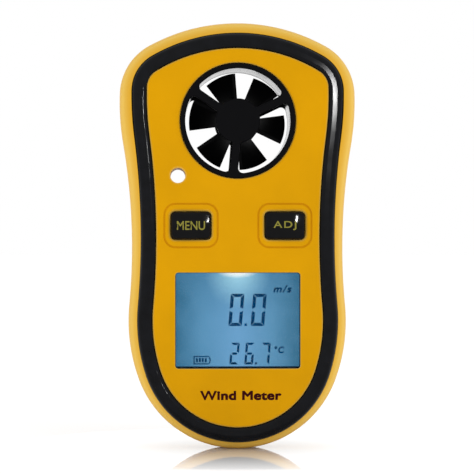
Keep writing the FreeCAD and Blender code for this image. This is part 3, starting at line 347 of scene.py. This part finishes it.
def lit_panel_look():
    """The rear polariser with the backlight behind it: blue, darker at the sides and up in the corners."""
    look = Look("lit_panel", tint(10, 26, 38), 0.5, specular=0.1)
    split = look.add("ShaderNodeSeparateXYZ")
    look.link(look.place, split.inputs["Vector"])
    low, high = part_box("rear_polariser")
    spread = look.add("ShaderNodeMapRange")
    spread.inputs["From Min"].default_value = low.x
    spread.inputs["From Max"].default_value = high.x
    look.link(split.outputs["X"], spread.inputs["Value"])
    rise = look.add("ShaderNodeMapRange")
    rise.inputs["From Min"].default_value = WINDOW["height"]
    rise.inputs["From Max"].default_value = WINDOW_TOP
    look.link(split.outputs["Z"], rise.inputs["Value"])
    blues = look.ramp(spread.outputs["Result"], (0.0, tint(44, 100, 132)), (0.22, tint(86, 142, 180)),
                      (0.5, tint(107, 161, 204)), (0.78, tint(88, 142, 178)), (1.0, tint(46, 100, 130)))
    corners = look.mix(look.ramp(rise.outputs["Result"], (0.0, 0.0), (1.0, 0.45)), blues, tint(56, 108, 140))
    haze = look.mix(look.ramp(look.noise(5 * MM, 4.0), (0.3, 0.0), (0.75, 0.2)), corners, tint(114, 168, 208))
    lamp = Vector((0, low.y, WINDOW_TOP))
    halo = look.ramp(lamp_distance(look, lamp, 1.1, 9 * MM), (0.08, 0.8), (0.2, 0.58), (0.38, 0.43),
                     (0.55, 0.28), (0.8, 0.1), (1.0, 0.0))
    core = look.ramp(lamp_distance(look, lamp, 0.3, 1.5 * MM), (0.3, 1.0), (0.55, 0.6), (1.0, 0.0))
    lit = look.mix(core, look.mix(halo, haze, tint(184, 240, 255)), tint(250, 255, 250))
    look.link(lit, look.shader.inputs["Emission Color"])
    look.set("Emission Strength", 1.2)
    look.bump((0.4 * MM, 0.001 * MM))
    return look


def lamp_distance(look, lamp, narrow, reach):
    """The distance to the backlight's lamp, 1 at reach; sideways it counts narrow times as much."""
    shifted = look.add("ShaderNodeMapping")
    shifted.inputs["Scale"].default_value = (narrow, 1, 1)
    shifted.inputs["Location"].default_value = (-lamp.x * narrow, -lamp.y, -lamp.z)
    look.link(look.place, shifted.inputs["Vector"])
    length = look.add("ShaderNodeVectorMath", operation="LENGTH")
    look.link(shifted.outputs["Vector"], length.inputs[0])
    share = look.add("ShaderNodeMapRange")
    share.inputs["From Max"].default_value = reach
    look.link(length.outputs["Value"], share.inputs["Value"])
    return share.outputs["Result"]


def board_look():
    """Green solder mask with faint copper tracks under it."""
    look = Look("board_green", tint(20, 92, 44), 0.32, coat=0.3)
    tracks = look.add("ShaderNodeTexBrick")
    tracks.inputs["Scale"].default_value = 160
    tracks.inputs["Mortar Size"].default_value = 0.03
    look.link(look.stretched((1, 1, 1)), tracks.inputs["Vector"])
    lines = look.ramp(tracks.outputs["Fac"], (0.4, tint(16, 82, 38)), (0.6, tint(40, 122, 62)))
    look.link(lines, look.shader.inputs["Base Color"])
    look.vary_roughness(0.25, 0.4, size=4 * MM)
    look.bump((0.5 * MM, 0.004 * MM))
    return look


def make_looks():
    """Every material, by the name of the CAD material slot that it dresses."""
    black = tint(24, 24, 27)
    return {
        "case_shell": case_look(),
        "rubber_band": rubber("band_black", tint(9, 10, 14), 0.085, relief=0.0008 * MM, specular=0.1),
        "guard_black": plastic("guard_black", tint(7, 7, 9), 0.45, specular=0.05),
        "duct_black": duct_look(),
        "impeller_black": plastic("impeller_black", tint(5, 5, 6), 0.5, specular=0.05),
        "shaft_steel": metal("shaft_steel", (0.62, 0.62, 0.65), 0.18, stretch=(1, 12, 1)),
        "bearing_brass": metal("bearing_brass", (0.72, 0.5, 0.2), 0.25),
        "magnet": metal("magnet_nickel", (0.6, 0.58, 0.54), 0.2),
        "key_black": rubber("key_black", tint(5, 5, 6), 0.05, relief=0.0002 * MM, specular=0.1),
        "switch_housing": plastic("switch_housing", tint(30, 30, 32), 0.5),
        "switch_stem": plastic("switch_stem", tint(150, 120, 84), 0.5),
        "window_clear": window_look(),
        "adhesive": plastic("adhesive_black", tint(26, 26, 28), 0.7),
        "gasket_rubber": rubber("gasket_black", tint(28, 28, 30), 0.6),
        "polariser_film": clear("polariser_film", tint(60, 110, 130), 0.08, alpha=0.06, specular=0.1),
        "display_glass": clear("display_glass", tint(60, 110, 130), 0.02, alpha=0.03, specular=0.1),
        "guide_acrylic": clear("guide_acrylic", tint(120, 190, 230), 0.1, alpha=0.6),
        "led_white": plastic("led_white", tint(235, 242, 250), 0.3),
        "holder_plastic": plastic("holder_black", tint(30, 30, 33), 0.5),
        "zebra_rubber": zebra_look(),
        "board_green": board_look(),
        "chip_black": plastic("chip_black", tint(34, 34, 36), 0.5),
        "crystal_can": metal("crystal_can", (0.66, 0.66, 0.68), 0.22, stretch=(6, 6, 1)),
        "capacitor_tan": plastic("capacitor_tan", tint(176, 138, 96), 0.45),
        "bead_epoxy": plastic("bead_epoxy", tint(18, 18, 20), 0.15, coat=1.0),
        "cell_steel": metal("cell_steel", (0.66, 0.66, 0.68), 0.22, stretch=(10, 1, 1)),
        "contact_metal": metal("contact_nickel", (0.7, 0.68, 0.62), 0.2),
        "screw_steel": metal("screw_zinc", (0.5, 0.5, 0.53), 0.28),
    }


def zebra_look():
    """Conductive rubber: dark slices packed side by side along X."""
    look = Look("zebra_strip", tint(150, 70, 62), 0.6)
    slices = look.add("ShaderNodeTexWave", bands_direction="X")
    slices.inputs["Scale"].default_value = 1 / (0.6 * MM)
    look.link(look.place, slices.inputs["Vector"])
    stripes = look.ramp(slices.outputs["Fac"], (0.45, tint(34, 30, 30)), (0.55, tint(150, 70, 62)))
    look.link(stripes, look.shader.inputs["Base Color"])
    look.bump((0.2 * MM, 0.004 * MM))
    return look


def dress_nodes(looks):
    """Gives each CAD node its look; the rear polariser has its own, because the backlight fills it."""
    slots = {entry["node"]: entry["material_slot"] for entry in frame["record"]["subparts"]}
    lit = lit_panel_look()
    for name, node in NODES.items():
        look = lit if name == "rear_polariser" else looks[slots[name]]
        materials = node.data.materials
        if not materials:
            materials.append(look.material)
        for number in range(len(materials)):
            materials[number] = look.material


# ---------------------------------------------------------------- meshes for marks


def add_piece(name, mesh, body, look):
    piece = bpy.data.objects.new(name, mesh)
    bpy.context.scene.collection.objects.link(piece)
    mesh.materials.clear()
    mesh.materials.append(look.material)
    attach(piece, body)
    return piece


def plate_mesh(name, outlines, front, depth):
    """Flat plates in X and Z whose front lies at level front; each outline is a list of (x, z)."""
    shape = bmesh.new()
    for outline in outlines:
        corners = [shape.verts.new((x, front, z)) for x, z in outline]
        face = shape.faces.new(corners)
        face.normal_update()
        if face.normal.y > 0:
            face.normal_flip()
        grown = bmesh.ops.extrude_face_region(shape, geom=[face])
        moved = [item for item in grown["geom"] if isinstance(item, bmesh.types.BMVert)]
        bmesh.ops.translate(shape, verts=moved, vec=(0, depth, 0))
    bmesh.ops.recalc_face_normals(shape, faces=shape.faces)
    mesh = bpy.data.meshes.new(name)
    shape.to_mesh(mesh)
    shape.free()
    return mesh


def letters_mesh(name, words, tall, wide, lean=0.0, weight=0.0, depth=0.03 * MM, spacing=1.0):
    """Words as a solid mesh of that height and width, centred on the origin in X and Z.

    weight thickens the strokes on every side, in units of the letters' size.
    """
    curve = bpy.data.curves.new(name, "FONT")
    curve.body = words
    curve.size = 1.0
    curve.shear = lean
    curve.space_character = spacing
    curve.resolution_u = 6
    curve.fill_mode = "BOTH"
    curve.extrude = 0.5
    holder = bpy.data.objects.new(name, curve)
    bpy.context.scene.collection.objects.link(holder)
    bpy.context.view_layer.update()
    mesh = bpy.data.meshes.new_from_object(holder.evaluated_get(bpy.context.evaluated_depsgraph_get()))
    bpy.data.objects.remove(holder)
    mesh.name = name
    embolden(clean(mesh), weight)
    low = [min(vertex.co[axis] for vertex in mesh.vertices) for axis in range(3)]
    high = [max(vertex.co[axis] for vertex in mesh.vertices) for axis in range(3)]
    grow_x, grow_z = wide / (high[0] - low[0]), tall / (high[1] - low[1])
    middle = Vector(((low[0] + high[0]) / 2, (low[1] + high[1]) / 2, 0))
    for vertex in mesh.vertices:
        offset = vertex.co - middle
        vertex.co = Vector((offset.x * grow_x, -offset.z * depth, offset.y * grow_z))
    return clean(mesh)


def embolden(mesh, weight):
    """Moves the walls of flat letters outwards, so that every stroke gets that much wider on each side."""
    shape = bmesh.new()
    shape.from_mesh(mesh)
    shape.normal_update()
    moves = []
    for vertex in shape.verts:
        walls = [face.normal for face in vertex.link_faces if abs(face.normal.z) < 0.5]
        out = sum(walls, Vector())
        moves.append(out.normalized() * weight)
    for vertex, move in zip(shape.verts, moves):
        vertex.co += move
    shape.to_mesh(mesh)
    shape.free()


def clean(mesh):
    """Joins doubled points, drops faces with no area and turns every face outwards."""
    shape = bmesh.new()
    shape.from_mesh(mesh)
    bmesh.ops.remove_doubles(shape, verts=shape.verts, dist=0.0005 * MM)
    bmesh.ops.dissolve_degenerate(shape, dist=0.0005 * MM, edges=shape.edges)
    bmesh.ops.recalc_face_normals(shape, faces=shape.faces)
    shape.to_mesh(mesh)
    shape.free()
    return mesh


def lay_on(mesh, x, z, level):
    """Moves a flat mark to (x, z) and bends it to the surface whose level is level(x, z)."""
    for vertex in mesh.vertices:
        place = vertex.co + Vector((x, 0, z))
        vertex.co = Vector((place.x, place.y + level(place.x, place.z), place.z))


def face_level(x, z):
    """The level of the domed face at that place."""
    return FACE_CROWN + FACE_DOME - math.sqrt(FACE_DOME**2 - x**2)


# ---------------------------------------------------------------- display


SEGMENTS = {"0": "abcdef", "2": "abged", "6": "afgedc", "7": "abc"}


def digit(character, left, base, wide, tall, stroke, lean):
    """The lit segments of one seven-segment digit, leaning right by lean times height."""
    gap = 0.12 * stroke
    split = 0.32 * stroke
    middle = tall / 2
    half = stroke / 2
    shapes = {
        "a": [(gap, tall), (wide - gap, tall), (wide - stroke - gap, tall - stroke),
              (stroke + gap, tall - stroke)],
        "d": [(gap, 0), (stroke + gap, stroke), (wide - stroke - gap, stroke), (wide - gap, 0)],
        "g": [(half + gap, middle), (stroke + gap, middle + half), (wide - stroke - gap, middle + half),
              (wide - half - gap, middle), (wide - stroke - gap, middle - half),
              (stroke + gap, middle - half)],
        "f": [(0, tall - gap), (0, middle + split), (stroke, middle + split + half),
              (stroke, tall - stroke - gap)],
        "e": [(0, gap), (stroke, stroke + gap), (stroke, middle - split - half), (0, middle - split)],
    }
    for right, left_one in (("b", "f"), ("c", "e")):
        shapes[right] = [(wide - x, z) for x, z in reversed(shapes[left_one])]
    return [[(left + x + lean * z, base + z) for x, z in shapes[key]] for key in SEGMENTS[character]]


def dot(left, base, side, lean):
    """A square decimal point that leans as the digits do."""
    corners = ((0, 0), (side, 0), (side, side), (0, side))
    return [(left + x + lean * z, base + z) for x, z in corners]


def battery_outlines(left, base, wide, tall, line):
    """A battery with its tip to the right and four charge bars."""
    right, top = left + wide, base + tall
    tip = right + 0.5 * MM
    outlines = [
        [(left, base), (right, base), (right, base + line), (left, base + line)],
        [(left, top - line), (right, top - line), (right, top), (left, top)],
        [(left, base + line), (left + line, base + line), (left + line, top - line), (left, top - line)],
        [(right, base), (tip, base + tall * 0.35), (tip, base + tall * 0.65), (right, top),
         (right, top - line), (tip - line, base + tall / 2), (right, base + line)],
    ]
    bar, pitch, side_gap, end_gap = 0.46 * MM, 0.72 * MM, 0.62 * MM, 0.52 * MM
    low, high = base + end_gap, top - end_gap
    for number in range(4):
        x = left + side_gap + number * pitch
        outlines.append([(x, low), (x + bar, low), (x + bar, high), (x, high)])
    return outlines


def make_display_marks():
    """The segments that the liquid crystal shows, lying between its two glasses."""
    ink = Look("segment_blue", tint(0, 100, 176), 0.5, specular=0.05)
    ink.vary_colour(0.8, 1.15, size=1.5 * MM)
    thick = 0.03 * MM
    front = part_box("display_front_glass")[1].y - thick
    lean = math.tan(math.radians(4.6))
    big = {"wide": 3.34 * MM, "tall": 7.95 * MM, "stroke": 0.8 * MM, "lean": lean}
    small = {"wide": 2.16 * MM, "tall": 5.36 * MM, "stroke": 0.56 * MM, "lean": lean}
    wind_base, warm_base = 30.25 * MM, 20.78 * MM
    outlines = digit("0", -2.28 * MM, wind_base, **big) + digit("0", 3.24 * MM, wind_base, **big)
    outlines.append(dot(1.68 * MM, wind_base, 0.64 * MM, lean))
    for character, left in (("2", -2.03), ("6", 1.65), ("7", 5.62)):
        outlines += digit(character, left * MM, warm_base, **small)
    outlines.append(dot(4.27 * MM, warm_base, 0.52 * MM, lean))
    battery = battery_outlines(-10.85 * MM, 20.8 * MM, 3.75 * MM, 2.1 * MM, 0.27 * MM)
    for name, plates in (("display_digits", outlines), ("display_battery_mark", battery)):
        add_piece(name, plate_mesh(name, plates, front, thick), "case", ink)
    for name, words, x, z, tall, wide, slant in (("display_speed_unit", "m/s", 11.1, 39.4, 1.85, 4.6, 0.25),
                                                 ("display_heat_unit", "°C", 10.3, 24.4, 1.75, 2.4, 0.12)):
        mesh = letters_mesh(name, words, tall * MM, wide * MM, lean=slant, weight=0.042, spacing=1.2)
        lay_on(mesh, x * MM, z * MM, lambda x, z: front)
        add_piece(name, mesh, "case", ink)


# ---------------------------------------------------------------- printed and moulded marks, and the painted shade round the window


def rounded_rectangle(width, tall, corner, z):
    """Points round a rectangle centred on (0, z), the corners as arcs of six steps."""
    points = []
    for number, (sx, sz) in enumerate(((1, 1), (-1, 1), (-1, -1), (1, -1))):
        for step in range(7):
            turn = math.radians(90 * number + 15 * step)
            points.append((sx * (width / 2 - corner) + corner * math.cos(turn),
                           z + sz * (tall / 2 - corner) + corner * math.sin(turn)))
    return points


def make_window_edge_shade(ink):
    """A thin black ring on the back of the window: painted shade along the edges of the window's opening."""
    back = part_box("display_window")[1].y
    behind = back + 0.02 * MM
    outer, inner = (rounded_rectangle(WINDOW["wide"] + grow, WINDOW["tall"] + grow, corner, WINDOW["height"])
                    for grow, corner in ((0.8 * MM, 0.8 * MM), (-0.3 * MM, 0.6 * MM)))
    shape = bmesh.new()
    rings = [[shape.verts.new((x, level, z)) for x, z in points]
             for points, level in ((outer, back), (inner, back), (inner, behind), (outer, behind))]
    count = len(outer)
    for first, second in zip(rings, rings[1:] + rings[:1]):
        for number in range(count):
            after = (number + 1) % count
            shape.faces.new((first[number], first[after], second[after], second[number]))
    bmesh.ops.recalc_face_normals(shape, faces=shape.faces)
    mesh = bpy.data.meshes.new("window_edge_shade")
    shape.to_mesh(mesh)
    shape.free()
    # Painted shade: the black ring darkens the window's edges where they would lie in shade.
    add_piece("window_edge_shade", mesh, "case", ink)


def make_key_legends():
    """Generic function names printed on the two keys, bent to the keys' crowned tops."""
    ink = Look("legend_olive", tint(142, 136, 60), 0.5, specular=0.05)
    ink.vary_colour(0.85, 1.1, size=0.8 * MM)
    for body, node, words, wide, spacing in (("mode_key", "mode_button", "MENU", 6.9, 1.0),
                                             ("set_key", "set_button", "ADJ", 5.6, 1.2)):
        low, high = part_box(node)
        middle = (low + high) / 2
        crown = low.y

        def top(x, z):
            aside = (x - middle.x) ** 2 + (z - middle.z) ** 2
            return crown + KEY_CROWN - math.sqrt(KEY_CROWN**2 - aside)

        name = body + "_legend"
        mesh = letters_mesh(name, words, 2.2 * MM, wide * MM, weight=0.015, spacing=spacing)
        lay_on(mesh, middle.x, middle.z, top)
        add_piece(name, mesh, body, ink)


def make_face_label():
    """The generic line printed under the window."""
    ink = Look("label_maroon", tint(56, 6, 10), 0.5, specular=0.05)
    ink.vary_colour(0.8, 1.1, size=1.0 * MM)
    mesh = letters_mesh("face_label", "Wind Meter", 2.35 * MM, 20.0 * MM, weight=0.052, spacing=1.06)
    lay_on(mesh, 0.7 * MM, 13.4 * MM, face_level)
    add_piece("face_label", mesh, "case", ink)


def ring_point(middle, radius, degrees):
    """The point at that radius round middle in the X, Z plane, its angle measured from +X towards +Z."""
    turn = math.radians(degrees)
    return middle.x + radius * math.cos(turn), middle.z + radius * math.sin(turn)


def ring_points(middle, radius, start, stop, steps):
    """Points along an arc, its ends included."""
    return [ring_point(middle, radius, start + (stop - start) * step / steps) for step in range(steps + 1)]


def make_door_marks():
    """Printed marks at the battery door: the way it opens, its two stops, and the pointer that meets them."""
    ink = Look("mark_black", tint(24, 20, 18), 0.5, specular=0.2)
    ink.vary_colour(0.7, 1.3, size=0.8 * MM)
    pale = Look("mark_pale", tint(196, 192, 180), 0.5, specular=0.2)
    pale.vary_colour(0.85, 1.05, size=0.8 * MM)
    low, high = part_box("battery_door")
    middle = (low + high) / 2
    edge = high.x - middle.x
    way, half, twist = edge + 2.6 * MM, 0.3 * MM, 50
    tail, neck, point = 205, 165, 157
    arrow = ring_points(middle, way + half, tail, neck, 12)
    for radius, turn in ((way + 3 * half, neck), (way, point), (way - 3 * half, neck)):
        arrow.append(ring_point(middle, radius, turn))
    arrow += ring_points(middle, way - half, neck, tail, 12)
    marks = [arrow]
    for turn in (90, 90 - twist):
        x, z = ring_point(middle, edge + 1.7 * MM, turn)
        marks.append(ring_points(Vector((x, 0, z)), 0.45 * MM, 0, 345, 23))
    pointer = [ring_point(middle, edge - 1.0 * MM, 90)] + ring_points(middle, edge - 2.8 * MM, 85, 95, 1)
    sunk, thick = 0.1 * MM, 0.25 * MM
    for name, plates, skin, body, look in (
            ("door_turn_marks", marks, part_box("rear_shell")[1].y, "case", ink),
            ("door_pointer", [pointer], high.y, "battery_door", pale)):
        add_piece(name, plate_mesh(name, plates, skin - sunk, thick), body, look)


def main():
    make_camera()
    make_floor()
    make_studio()
    make_lights()
    looks = make_looks()
    dress_nodes(looks)
    make_window_edge_shade(looks["adhesive"])
    make_display_marks()
    make_key_legends()
    make_face_label()
    make_door_marks()
    bpy.context.scene.view_settings.view_transform = "Standard"


main()
